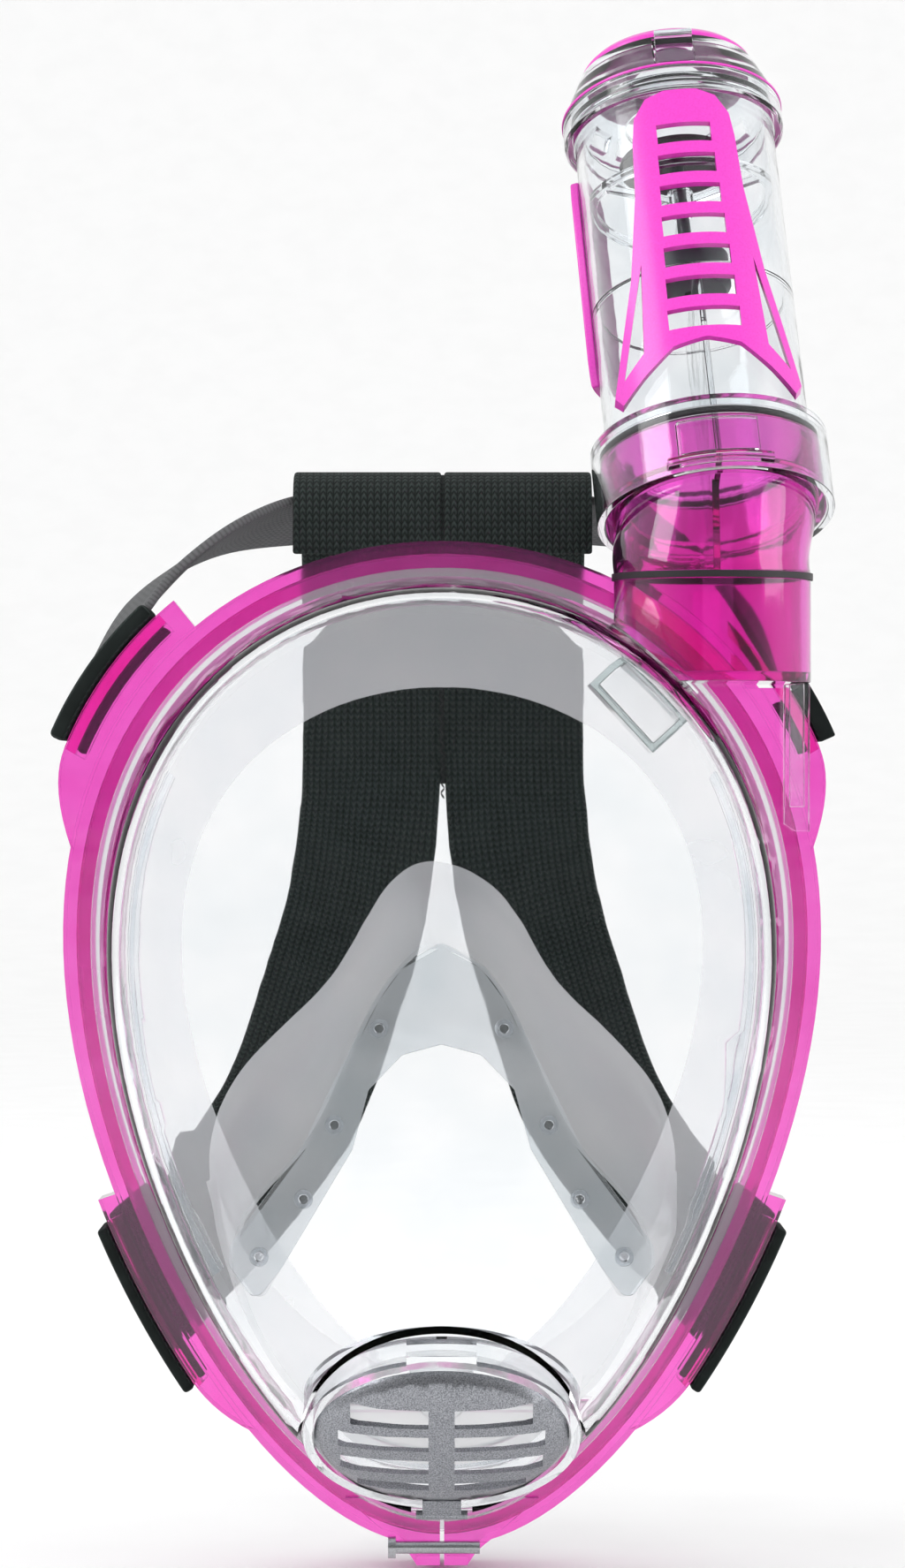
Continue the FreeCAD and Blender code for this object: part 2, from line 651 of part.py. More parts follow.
feature("cap_shell", cap_shell(), SNORKEL)
lathe("cap_cover", [
    (("cover_radius", -12), ("cap_top", 0.05)),
    (("cover_radius", 0.8), ("cap_top", 0.05)),
    (("cover_radius", 0.8), ("cap_top", 1.6)),
    (("cover_radius", -0.8), ("cap_top", 3.2)),
    (("cover_radius", -4.5), ("cap_top", 4.2)),
    (("cover_radius", -6), ("cap_top", 2.6)),
    (("cover_radius", -12), ("cap_top", 2.6)),
], SNORKEL)
cap_latch = box((9.2, 2.0, 8.6), (0, -24.9, S["cap_line"] + 5))
cap_latch_hook = box((9.2, 2.6, 1.8), (0, -25.4, S["cap_line"] + 8.4))
feature("cap_latch", cap_latch.fuse(cap_latch_hook).removeSplitter(), SNORKEL)


def float_guide():
    """Three-armed spider inside the tube with a sleeve for the float stem."""
    rim = Part.makeCylinder(22.4, 2, Vector(0, 0, 68)).cut(Part.makeCylinder(20.6, 4, Vector(0, 0, 67)))
    sleeve = Part.makeCylinder(3.2, 6, Vector(0, 0, 66))
    arms = []
    for i in range(3):
        arm = box((20, 1.6, 2), (11.5, 0, 69))
        arm.rotate(Vector(), Z_AXIS, 90 + 120 * i)
        arms.append(arm)
    bore = Part.makeCylinder(S["stem_radius"] + 0.05, 20, Vector(0, 0, 60))
    return rim.fuse(arms + [sleeve]).cut(bore).removeSplitter()


feature("float_guide", float_guide(), SNORKEL)
lathe("float", [
    (("stem_radius", 0), ("float_base", 0)),
    (("float_radius", -1.5), ("float_base", 0)),
    (("float_radius", 0), ("float_base", 1.5)),
    (("float_radius", 0), ("float_base", 9)),
    (("float_radius", -3), ("float_base", S["float_height"])),
    (("stem_radius", 0), ("float_base", S["float_height"])),
], SNORKEL)
stem = doc.addObject("Part::Cylinder", "stem_cylinder")
stem.setExpression("Radius", "Sizes.stem_radius")
stem.setExpression("Height", "Sizes.tube_top - Sizes.float_base - Sizes.float_height")
finish_node(stem, "float_stem", SNORKEL.multiply(Placement(Vector(0, 0, S["float_base"] + 2), NO_TURN)))
lathe("float_seal", [
    (("stem_radius", 0), ("tube_top", -S["seal_drop"])),
    (("seal_radius", 0), ("tube_top", -S["seal_drop"])),
    (("seal_radius", 0), ("tube_top", -9.5)),
    (("seal_radius", -4), ("tube_top", -8.5)),
    (("stem_radius", 0), ("tube_top", -8.5)),
], SNORKEL)

# ---------------------------------------------------------------- purge valve


def purge_housing():
    tube = ellipse_prism(half_x, half_y, -9, 4).cut(ellipse_prism(half_x - 2.2, half_y - 2.2, -10, 5))
    hood = box((16, 4.2, 6), (0, half_y + 0.4, 1.4)).cut(ellipse_prism(half_x - 2.2, half_y - 2.2, -10, 5))
    return tube.fuse(hood).removeSplitter()


def purge_seat():
    disc = ellipse_prism(half_x - 2.25, half_y - 2.25, -7, -5.4)
    port = ellipse_prism(22, 13.5, -8, -5).cut(ellipse_prism(5, 4, -9, -4))
    bars = [box((60, 2.2, 8), (0, 0, -6)), box((2.2, 50, 8), (0, 0, -6))]
    return disc.cut(port.cut(bars)).cut(Part.makeCylinder(1.5, 8, Vector(0, 0, -10))).removeSplitter()


def purge_diaphragm():
    disc = ellipse_prism(25, 16.5, -5.3, -4.3)
    stalk = Part.makeCylinder(1.3, 6, Vector(0, 0, -10.8))
    bulb = Part.makeCylinder(2.2, 1.4, Vector(0, 0, -11))
    return disc.fuse([stalk, bulb]).removeSplitter()


def dome(inset):
    rings = []
    long_axis = half_x - 2.6 - inset
    short_axis = half_y - 2.6 - inset
    for scale, height in ((1, 0.6), (1, 3.2), (0.93, 5.6), (0.78, 7.6), (0.5, 9.0), (0.15, 9.6)):
        edge = Part.Ellipse(Vector(0, 0, height - inset), long_axis * scale, short_axis * scale)
        rings.append(Part.Wire(edge.toShape()))
    return Part.makeLoft(rings, True, True)


PURGE_SLOT_ROWS = [(9.6, 4.8), (2.6, 4.2), (-4.6, 4.4), (-11.4, 2.8)]
PURGE_RIB = 3.0


def purge_cover():
    shell = dome(0).cut(dome(1.4))
    cutters = []
    for centre, height in PURGE_SLOT_ROWS:
        reach = (half_x - 8) * math.sqrt(1 - (abs(centre) / (half_y - 3)) ** 2)
        for side in (1, -1):
            length = reach - PURGE_RIB
            cutters.append(box((length, height, 40), (side * (PURGE_RIB + length / 2), centre, 5)))
    arm = box((9, 4.6, 1.4), HINGE_CENTRE + Vector(0, 3.0, 0.3))
    return shell.cut(cutters).fuse([arm, purge_hinge(0)]).removeSplitter()


feature("purge_housing", purge_housing(), PURGE)
feature("purge_valve_seat", purge_seat(), PURGE)
feature("purge_diaphragm", purge_diaphragm(), PURGE)
feature("purge_cover", purge_cover(), PURGE)


# ---------------------------------------------------------------- harness
def band(stations):
    """Flat webbing through stations of centre and width direction."""
    rings = []
    centres = [Vector(*centre) for centre, _ in stations]
    for i, (_, width) in enumerate(stations):
        along = centres[min(i + 1, len(centres) - 1)] - centres[max(i - 1, 0)]
        across = Vector(*width).normalize()
        normal = along.cross(across).normalize()
        half_across = across * (S["strap_width"] / 2)
        half_normal = normal * (S["strap_thick"] / 2)
        corners = [
            centres[i] + half_across + half_normal,
            centres[i] - half_across + half_normal,
            centres[i] - half_across - half_normal,
            centres[i] + half_across - half_normal,
        ]
        rings.append(Part.makePolygon(corners + [corners[0]]))
    return Part.makeLoft(rings, True, False)


UPPER_HALF = [
    ((-81.8, -21.5, 91.3), (0.59, 0, 0.81)),
    ((-76, -8, 102), (0.64, -0.15, 0.75)),
    ((-64, 4, 117), (0.75, -0.4, 0.53)),
    ((-47, 27, 127.5), (0.62, -0.7, 0.34)),
    ((-25, 44, 130), (0.25, -0.94, 0.22)),
    ((0, 47, 131.5), (0, -0.97, 0.24)),
]
BACK_LEFT = [
    ((-18.9, 8, 119.5), (1, 0, 0)),
    ((-18.9, 8, 128), (1, 0, 0)),
    ((-18.9, 9.8, 135), (1, 0, 0)),
    ((-18.9, 17, 139.2), (1, 0, 0)),
    ((-18.9, 32, 139.8), (1, 0, 0)),
    ((-18.9, 47, 137.8), (1, 0, 0)),
    ((-18.9, 62, 133), (1, 0, 0)),
    ((-18.9, 74, 125.5), (1, 0, 0)),
    ((-18.9, 83, 114.5), (1, 0, 0)),
    ((-18.9, 90, 96), (1, 0, 0)),
    ((-19.2, 91, 62), (1, 0, 0)),
    ((-22.5, 83, 32), (0.97, 0, -0.24)),
    ((-29.5, 68, 6), (0.92, 0.1, -0.36)),
    ((-39, 46, -21), (0.84, 0.25, -0.46)),
    ((-54, 16, -42), (0.7, 0.42, -0.56)),
    ((-66, -4, -53), (0.54, 0.3, -0.78)),
    ((-72.5, -21.5, -59), (0.42, 0, -0.9)),
]
upper_right = [((-x, y, z), (-wx, wy, wz)) for (x, y, z), (wx, wy, wz) in reversed(UPPER_HALF[:-1])]
feature("upper_strap", band(UPPER_HALF + upper_right))
back_left = band(BACK_LEFT)
feature("back_strap_left", back_left)
feature("back_strap_right", mirrored(back_left))


def strap_loop(outer_inset, inner_inset, slot_inset, slot_floor, low_deg, high_deg):
    """Webbing folded round a lug: a thick outer leg, a turn through the slot and a leg behind it."""
    front = SLOT_FRONT + play / 2
    outer_leg = egg_strip(outer_inset, inner_inset, low_deg, high_deg, -43, -22)
    turn = egg_strip(inner_inset, slot_floor, low_deg, high_deg, front, SLOT_TURN - play / 2)
    inner_leg = egg_strip(slot_inset, slot_floor, low_deg, high_deg, front, -22)
    return outer_leg.fuse([turn, inner_leg]).removeSplitter()


upper_loop = strap_loop(-12.2, -8.2, -5.2, -3.1, 34, 53)
lower_loop = strap_loop(-8.4, -5.4, -3.4, -1.4, -41, -20.5)
loops = [upper_loop.cut(junction_room), mirrored(upper_loop)] + both_sides(lower_loop)
feature("strap_loops", Part.makeCompound(loops))
feature("strap_seam", box((0.7, 1.6, 40), (0, 0, 0)), Placement(Vector(0, 90.8, 78), NO_TURN))

# ---------------------------------------------------------------- check and write
doc.recompute()
broken = [obj.Label for obj in doc.Objects if "Invalid" in obj.State or "Error" in obj.State]
if broken:
    raise RuntimeError(f"failed objects: {broken}")
for obj in nodes:
    if obj.Shape.isNull() or not obj.Shape.isValid():
        raise RuntimeError(f"bad shape: {obj.Label}")
    print(f"{obj.Label}: {obj.Shape.Volume:.0f} mm3, {len(obj.Shape.Solids)} solid(s)")
os.makedirs("parts", exist_ok=True)
for obj in nodes:
    obj.Shape.exportStep(f"parts/{obj.Label}.step")
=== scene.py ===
# %% [markdown]
# # A full face snorkel mask
# The mask is a clear polycarbonate visor held in a magenta frame, with a soft silicone skirt behind it,
# a breathing tube on one side and knitted elastic straps at the back. The hard parts come from the CAD
# model as they are and only need rounded edges and good materials. The webbing is made here.

import json
import math
import bmesh
import bpy
from mathutils import Matrix, Vector

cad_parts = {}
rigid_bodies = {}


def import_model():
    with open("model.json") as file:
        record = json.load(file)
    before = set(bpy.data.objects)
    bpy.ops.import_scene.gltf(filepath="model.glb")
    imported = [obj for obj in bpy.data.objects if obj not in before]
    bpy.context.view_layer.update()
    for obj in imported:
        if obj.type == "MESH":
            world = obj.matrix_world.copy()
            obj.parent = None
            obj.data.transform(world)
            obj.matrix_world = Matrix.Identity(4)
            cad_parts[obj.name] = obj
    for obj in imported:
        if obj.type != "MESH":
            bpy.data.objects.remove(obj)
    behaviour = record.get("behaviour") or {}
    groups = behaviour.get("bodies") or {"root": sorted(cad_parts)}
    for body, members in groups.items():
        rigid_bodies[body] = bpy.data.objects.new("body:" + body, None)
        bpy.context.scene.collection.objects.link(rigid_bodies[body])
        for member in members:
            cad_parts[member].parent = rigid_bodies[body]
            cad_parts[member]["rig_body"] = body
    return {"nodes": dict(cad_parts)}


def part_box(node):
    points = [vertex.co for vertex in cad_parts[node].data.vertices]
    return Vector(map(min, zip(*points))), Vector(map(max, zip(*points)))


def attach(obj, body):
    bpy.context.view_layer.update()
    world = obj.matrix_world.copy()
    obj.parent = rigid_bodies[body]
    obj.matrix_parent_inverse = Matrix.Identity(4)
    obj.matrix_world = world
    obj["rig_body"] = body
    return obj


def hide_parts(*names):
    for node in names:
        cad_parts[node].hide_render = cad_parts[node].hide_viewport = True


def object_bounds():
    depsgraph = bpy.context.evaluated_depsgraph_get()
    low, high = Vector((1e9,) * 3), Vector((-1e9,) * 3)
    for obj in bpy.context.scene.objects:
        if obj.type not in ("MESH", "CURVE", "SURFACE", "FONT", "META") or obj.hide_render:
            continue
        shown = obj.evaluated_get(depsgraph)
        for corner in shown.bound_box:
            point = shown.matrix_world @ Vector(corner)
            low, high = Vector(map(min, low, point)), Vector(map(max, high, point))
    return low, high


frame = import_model()
nodes = frame["nodes"]
cad_low, cad_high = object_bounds()
MM = 0.001
print("CAD box, mm:", [round(v / MM, 1) for v in (*cad_low, *cad_high)])

# %% [markdown]
# Every colour is written the way a paint chart gives it, as an sRGB hex value, and turned to the linear
# light that the renderer works in. One small function adds any shader node with its settings and links,
# so a material reads as a short list of what it is made of.

# %% Colour and node helpers


def linear(hex_colour):
    """An sRGB hex colour as linear RGBA."""
    channels = [int(hex_colour[i:i + 2], 16) / 255 for i in (1, 3, 5)]
    return tuple(c / 12.92 if c <= 0.04045 else ((c + 0.055) / 1.055) ** 2.4 for c in channels) + (1.0,)


def add_node(tree, kind, feeds=None, stops=(), **settings):
    """One shader node. Settings name its properties or inputs, feeds give inputs a link or a number,
    and stops are the positions and hex colours of a colour ramp."""
    node = tree.nodes.new(kind)
    for name, value in settings.items():
        if hasattr(node, name):
            setattr(node, name, value)
        else:
            node.inputs[name.replace("_", " ")].default_value = value
    for place, feed in (feeds or {}).items():
        if isinstance(feed, (int, float)):
            node.inputs[place].default_value = feed
        else:
            tree.links.new(feed, node.inputs[place])
    for i, (position, hex_colour) in enumerate(stops):
        node.color_ramp.elements[i].position = position
        node.color_ramp.elements[i].color = linear(hex_colour)
    return node


def new_material(name):
    """An empty node material and its node tree."""
    material = bpy.data.materials.new(name)
    material.use_nodes = True
    material.node_tree.nodes.clear()
    return material, material.node_tree


def speckle(tree, grain_mm, detail=2.0):
    """Noise on the piece's own coordinates with a grain of a real size."""
    place = add_node(tree, "ShaderNodeTexCoord")
    grain = add_node(tree, "ShaderNodeTexNoise", {"Vector": place.outputs["Object"]},
                     Scale=1 / (grain_mm * MM), Detail=detail)
    return grain.outputs["Fac"]


def mottled_skin(tree, grain_mm, dark, light, relief, relief_mm, detail=2.0):
    """The colour and bump that a grain gives a surface, ready to feed a shader."""
    grain = speckle(tree, grain_mm, detail)
    tint = add_node(tree, "ShaderNodeValToRGB", {"Fac": grain}, stops=((0.35, dark), (0.65, light)))
    bump = add_node(tree, "ShaderNodeBump", {"Height": grain}, Strength=relief, Distance=relief_mm * MM)
    return {"Base Color": tint.outputs["Color"], "Normal": bump.outputs["Normal"]}


def surface(tree, feeds, **settings):
    """The shader that the material's output shows."""
    shader = add_node(tree, "ShaderNodeBsdfPrincipled", feeds, **settings)
    add_node(tree, "ShaderNodeOutputMaterial", {"Surface": shader.outputs["BSDF"]})


def linked_piece(name, shape, material):
    """A new object in the scene from a bmesh, which is freed."""
    mesh = bpy.data.meshes.new(name)
    shape.to_mesh(mesh)
    shape.free()
    mesh.materials.append(material)
    piece = bpy.data.objects.new(name, mesh)
    bpy.context.scene.collection.objects.link(piece)
    return piece


# %% [markdown]
# ## Clear plastics
# Clear polycarbonate is moulded in a polished tool. It bends light strongly (IOR 1.585) and is never
# perfectly flat, so a faint, wide ripple of the surface breaks its reflections. The visor's large front
# would mirror the whole room, so its straight-on reflections are darkened. The tube, cap and channels
# have a lower IOR than the real plastic, which keeps their many edges light. A tint is laid on each
# surface that light crosses, so the colour deepens where walls stand one behind another.

# %% Clear and tinted polycarbonate
RIPPLE_RELIEF = 0.35


def moulded_polycarbonate(name, light, dark, roughness, ripple_mm, ripple_height_mm,
                          ior=1.585, mirror="#FFFFFF"):
    """Clear or tinted plastic; mirror is how bright its straight-on reflections are."""
    material, tree = new_material(name)
    skin = mottled_skin(tree, ripple_mm, dark, light, RIPPLE_RELIEF, ripple_height_mm)
    surface(tree, skin, Roughness=roughness, IOR=ior, Transmission_Weight=1.0,
            Specular_Tint=linear(mirror))
    return material


# The visor is polished on both sides, so it is the smoothest piece.
clear_polycarbonate = moulded_polycarbonate(
    "moulded clear polycarbonate", "#FDFEFF", "#F6F9FB", 0.02, 22, 0.25, mirror="#303030")
# Tube, collar, cap, channels and purge housing show deeper flow marks.
tube_polycarbonate = moulded_polycarbonate(
    "moulded clear tube polycarbonate", "#FCFDFE", "#F2F5F7", 0.04, 14, 0.4, ior=1.36)
# The frame is tinted in the mass, and its surface is the least glossy of the clear plastics.
frame_polycarbonate = moulded_polycarbonate(
    "moulded magenta frame polycarbonate", "#F35FCB", "#ED50C0", 0.07, 12, 0.2)
# The junction is a slightly deeper magenta than the frame.
magenta_polycarbonate = moulded_polycarbonate(
    "moulded magenta duct polycarbonate", "#EC5ACB", "#E74EC2", 0.05, 16, 0.2)
# The inlet duct is smoky, and its edges read as dark lines.
duct_polycarbonate = moulded_polycarbonate(
    "moulded grey clear polycarbonate", "#C3CDCC", "#B5C0BF", 0.03, 9, 0.3)
# The rivets are small pins, a little cloudier than the plate that they hold.
rivet_polycarbonate = moulded_polycarbonate(
    "turned clear rivet plastic", "#E6E9EC", "#DDE0E4", 0.06, 3, 0.2)
# The stiffener is a flat clear plate with polished faces.
plate_polycarbonate = moulded_polycarbonate(
    "moulded clear plate polycarbonate", "#F1F3F5", "#E9EDEF", 0.03, 18, 0.2)
print("polycarbonates made")

# %% [markdown]
# ## Silicone, rubber, pigmented plastics and paint
# Liquid silicone rubber is milky and soft to the touch. It lets light through without giving a sharp
# image, so it is part see-through white with a satin surface, and a painted glow, a faint emission,
# stands in for the light that leaks through it. The other finishes are opaque, with a fine grain.

# %% Silicone and opaque finishes
GRAIN_RELIEF = 0.4
GRAIN_DETAIL = 4.0
COAT_ROUGHNESS = 0.15
SILICONE_COVER = 0.27  # how much of what is behind each surface is hidden
SILICONE_PAINTED_GLOW = 0.2  # painted glow: emission that stands in for the light that leaks through it


def opaque_finish(name, light, dark, roughness, grain_mm, bump_mm, metallic=0.0, coat=0.0):
    """A pigmented or painted surface with a fine grain in its colour and its skin."""
    material, tree = new_material(name)
    skin = mottled_skin(tree, grain_mm, dark, light, GRAIN_RELIEF, bump_mm, GRAIN_DETAIL)
    surface(tree, skin, Roughness=roughness, Metallic=metallic, Coat_Weight=coat,
            Coat_Roughness=COAT_ROUGHNESS)
    return material


# Skirt, pocket and flaps: injected silicone with a satin, slightly cloudy skin.
silicone, silicone_tree = new_material("moulded liquid silicone")
cloud = mottled_skin(silicone_tree, 30, "#F1F3F5", "#FBFBFC", 0.2, 0.4, detail=3.0)
# The emission is a painted glow that stands in for the light leaking through the silicone.
surface(silicone_tree, cloud, Roughness=0.34, IOR=1.41, Alpha=SILICONE_COVER,
        Emission_Color=linear("#FFFFFF"), Emission_Strength=SILICONE_PAINTED_GLOW)

# Tube plates, cap cover and the cap's seal line: pigmented ABS with a light gloss.
pink_abs = opaque_finish("moulded pink ABS", "#DE3ABA", "#D530B1", 0.34, 0.5, 0.02, coat=0.25)
# Purge cover: metallic flake paint under a clear lacquer.
gunmetal_paint = opaque_finish("gunmetal metallic paint", "#A3A5AA", "#6A6C72", 0.3, 0.3, 0.01,
                               metallic=0.85, coat=0.5)
# Gasket, ring and float seal: matt rubber.
black_rubber = opaque_finish("moulded black rubber", "#1B141A", "#120D12", 0.5, 0.6, 0.03)
# Float and stem: acetal that slides without grease.
dark_plastic = opaque_finish("moulded dark grey acetal", "#3C4648", "#2E3739", 0.4, 0.7, 0.03)
# Chin screw: bright turned steel.
stainless = opaque_finish("turned stainless steel", "#C9CBCD", "#B2B4B7", 0.28, 0.4, 0.01, metallic=1.0)
# Seam: matt spun thread.
thread = opaque_finish("spun polyester thread", "#23282A", "#111414", 0.8, 0.3, 0.02)
print("silicone and opaque finishes made")

# %% [markdown]
# ## Hard parts
# The CAD parts arrive with razor-sharp edges, which no moulding has: a real edge is rounded by a few
# tenths of a millimetre and catches a line of light. Each hard part is copied, its loose triangles are
# merged, flat areas are cleaned up, and a small bevel rounds every real edge.

# %% Rounded copies of the hard parts
SHARP_EDGE = math.radians(32)
FLAT_ENOUGH = math.radians(0.5)
MERGE_MM = 0.005


def rounded_copy(node, edge_mm, material):
    """A merged copy of a CAD part with rounded edges; it stands for the part and rides with it."""
    part = bmesh.new()
    part.from_mesh(nodes[node].data)
    bmesh.ops.remove_doubles(part, verts=part.verts, dist=MERGE_MM * MM)
    bmesh.ops.dissolve_limit(part, angle_limit=FLAT_ENOUGH, verts=part.verts, edges=part.edges)
    for edge in part.edges:
        edge.smooth = not (edge.is_manifold and edge.calc_face_angle(0) > SHARP_EDGE)
    for face in part.faces:
        face.smooth = True
    piece = linked_piece(node + "_moulding", part, material)
    if edge_mm:
        edge_round = piece.modifiers.new("rounded edges", "BEVEL")
        edge_round.width = edge_mm * MM
        edge_round.segments = 2
        edge_round.limit_method = "ANGLE"
        edge_round.angle_limit = SHARP_EDGE
        edge_round.harden_normals = True
    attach(piece, nodes[node]["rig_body"])
    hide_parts(node)
    print(node, "rounded by", edge_mm, "mm,", len(piece.data.polygons), "faces")


CHANNEL_PARTS = ["air_channel_left", "air_channel_right", "exhaust_pipe"]
PURGE_PARTS = ["purge_housing", "purge_valve_seat"]
TUBE_PARTS = ["tube_lower", "tube_upper", "tube_septum", "lock_collar", "collar_latch"]
CAP_PARTS = ["cap_ring", "cap_port_plate", "cap_shell", "cap_latch", "float_guide"]

# material, slot, edge radius in millimetres, nodes
ROUNDED = [
    (clear_polycarbonate, "clear_shell", 0.25, ["visor_lens"]),
    (duct_polycarbonate, "clear_shell", 0.25, ["air_inlet_duct"]),
    (plate_polycarbonate, "clear_shell", 0.3, ["pocket_stiffener"]),
    (rivet_polycarbonate, "clear_shell", 0.3, ["stiffener_rivets"]),
    (tube_polycarbonate, "clear_shell", 0.25, CHANNEL_PARTS + PURGE_PARTS + TUBE_PARTS + CAP_PARTS),
    (frame_polycarbonate, "magenta_shell", 0.6, ["main_frame"]),
    (magenta_polycarbonate, "magenta_shell", 0.3, ["junction_cup", "junction_elbow", "junction_divider"]),
    (pink_abs, "pink_cover", 0.55, ["front_tube_plate", "side_tube_plate", "cap_cover"]),
    (gunmetal_paint, "grey_paint", 0.4, ["purge_cover"]),
    (silicone, "silicone", 0.0, ["face_skirt", "orinasal_pocket"]),
]
for material, slot, edge_mm, names in ROUNDED:
    for name in names:
        rounded_copy(name, edge_mm, material)

# %% [markdown]
# Small rings, flaps, the float and the screw are already round or mostly hidden, so they keep their own
# shape and only get a material.

# %% Parts that keep their shape
KEPT = [
    (silicone, ["inlet_flap", "purge_diaphragm"]),
    (pink_abs, ["cap_line_seal"]),
    (black_rubber, ["junction_gasket", "socket_oring", "float_seal"]),
    (dark_plastic, ["float", "float_stem"]),
    (stainless, ["chin_screw"]),
]
for material, names in KEPT:
    for name in names:
        nodes[name].data.materials.clear()
        nodes[name].data.materials.append(material)
        print(name, "keeps its shape in", material.name)

# %% [markdown]
# ## Webbing
# The straps are knitted elastic. The front shows columns of small V-shaped stitches in a dark yarn, and
# the back is plainer and lighter. The pattern follows the strap through its UV map, which runs once
# across the width and once along the length, so it is multiplied back up to millimetres.

# %% Knitted elastic
STRAP_WIDTH_MM = 37.0
STRAP_THICK_MM = 2.2
STITCH_MM = 1.7  # true stitches are about 0.9 mm; drawn coarser so that they show
STITCH_LEAN = 1.3
YARN_SHARE = 0.75  # how much of the shade is the stitch
WEAR_SHARE = 0.35  # and how much is uneven dye and wear
WEAR_MM = 6
KNIT_RELIEF = 0.8
KNIT_SHINE = 0.12
KNIT_SHEEN = 0.03


def knitted_elastic(name, length_mm, light, dark, relief_mm):
    """Columns of leaning stitches; their height also shades the yarn."""
    material, tree = new_material(name)
    place = add_node(tree, "ShaderNodeUVMap", uv_map="UVMap")
    split = add_node(tree, "ShaderNodeSeparateXYZ", {"Vector": place.outputs["UV"]})
    known = {"x": split.outputs["X"], "y": split.outputs["Y"], "wear": speckle(tree, WEAR_MM, 3.0)}
    for result, operation, first, second in (
        ("across", "MULTIPLY", "x", STRAP_WIDTH_MM / STITCH_MM),
        ("along", "MULTIPLY", "y", length_mm / STITCH_MM),
        ("place in column", "FRACT", "across", 0),
        ("from middle", "SUBTRACT", "place in column", 0.5),
        ("column", "ABSOLUTE", "from middle", 0),
        ("slant", "MULTIPLY", "column", STITCH_LEAN),
        ("leaning", "ADD", "along", "slant"),
        ("angle", "MULTIPLY", "leaning", math.pi),
        ("wave", "SINE", "angle", 0),
        ("stitch", "ABSOLUTE", "wave", 0),
        ("to edge", "MULTIPLY", "column", 2.0),
        ("fall", "POWER", "to edge", 3.0),
        ("groove", "SUBTRACT", 1.0, "fall"),
        ("yarn", "MULTIPLY", "stitch", "groove"),
        ("lit yarn", "MULTIPLY", "yarn", YARN_SHARE),
        ("worn dye", "MULTIPLY", "wear", WEAR_SHARE),
        ("shade", "ADD", "lit yarn", "worn dye"),
    ):
        feeds = {0: known.get(first, first), 1: known.get(second, second)}
        known[result] = add_node(tree, "ShaderNodeMath", feeds, operation=operation).outputs[0]
    tint = add_node(tree, "ShaderNodeValToRGB", {"Fac": known["shade"]}, stops=((0.1, dark), (1.0, light)))
    bump = add_node(tree, "ShaderNodeBump", {"Height": known["yarn"]},
                    Strength=KNIT_RELIEF, Distance=relief_mm * MM)
    surface(tree, {"Base Color": tint.outputs["Color"], "Normal": bump.outputs["Normal"]},
            Roughness=0.9, Specular_IOR_Level=KNIT_SHINE, Sheen_Weight=KNIT_SHEEN)
    return material


def dark_knit(length_mm):
    """The face side: dark yarn in deep relief."""
    return knitted_elastic("knitted elastic webbing, face", length_mm, "#343C3A", "#151918", 0.6)


def grey_knit(length_mm):
    """The back side: a plainer, greyer knit in lower relief."""
    return knitted_elastic("knitted elastic webbing, back", length_mm, "#6A6B6C", "#505152", 0.2)


# %% [markdown]
# A strap is a long flat ribbon that twists. It starts as a flat grid, with few cells across and many
# along, and each point is moved onto a smooth path between stations. A station is a centre in
# millimetres and the direction of the strap's width there, both taken from the harness as designed.
# Points are placed by the distance walked along the path, so that the knit isn't stretched unevenly.

# %% Ribbon helpers


def smooth_between(points, position):
    """Catmull-Rom point at a position counted in stations."""
    last = len(points) - 1
    start = min(int(position), last - 1)
    t = position - start
    before, here = points[max(start - 1, 0)], points[start]
    there, after = points[start + 1], points[min(start + 2, last)]
    return 0.5 * (2 * here + (there - before) * t + (2 * before - 5 * here + 4 * there - after) * t * t
                  + (3 * here - before - 3 * there + after) * t ** 3)


def walked(centres, steps=400):
    """Pairs of station count and distance walked along the path, and the whole length."""
    last = len(centres) - 1
    walk = [(0.0, 0.0)]
    here = centres[0]
    for i in range(1, steps + 1):
        there = smooth_between(centres, i / steps * last)
        walk.append((i / steps * last, walk[-1][1] + (there - here).length))
        here = there
    return walk, walk[-1][1]


def station_at(walk, distance):
    """The position, counted in stations, at a distance along the path."""
    for (start, near), (end, far) in zip(walk, walk[1:]):
        if distance <= far:
            return start + (end - start) * (distance - near) / (far - near)
    return walk[-1][0]


EDGE_SHARE = 0.32  # the rounding of a strap's edge, as a share of its thickness


def ribbon(name, stations, knit, width_mm=STRAP_WIDTH_MM, thick_mm=STRAP_THICK_MM, columns=12, rows=90):
    """A strap of webbing through stations, and its length; its UV map runs along it."""
    centres = [Vector(centre) * MM for centre, _ in stations]
    widths = [Vector(width).normalized() for _, width in stations]
    strip = bmesh.new()
    strip.loops.layers.uv.new("UVMap")
    bmesh.ops.create_grid(strip, x_segments=columns, y_segments=rows, size=1, calc_uvs=True)
    walk, length = walked(centres)
    for vertex in strip.verts:
        position = station_at(walk, (vertex.co.y + 1) / 2 * length)
        middle = smooth_between(centres, position)
        across = smooth_between(widths, position).normalized()
        vertex.co = middle + across * (vertex.co.x * width_mm / 2 * MM)
    piece = linked_piece(name, strip, knit(length / MM))
    piece.data.shade_smooth()
    wall = piece.modifiers.new("webbing thickness", "SOLIDIFY")
    wall.thickness = thick_mm * MM
    wall.offset = 0
    rounded = piece.modifiers.new("soft edge", "BEVEL")
    rounded.width = thick_mm * EDGE_SHARE * MM
    rounded.segments = 3
    rounded.limit_method = "ANGLE"
    print(name, "is", round(length / MM), "mm long")
    return piece, length


# %% [markdown]
# ## Harness
# One strap joins the two upper lugs over the top of the head. Two back straps fold over it, run down
# side by side as one panel and part towards the lower lugs. Only the left half of each is written
# down, and the right half is its mirror image.

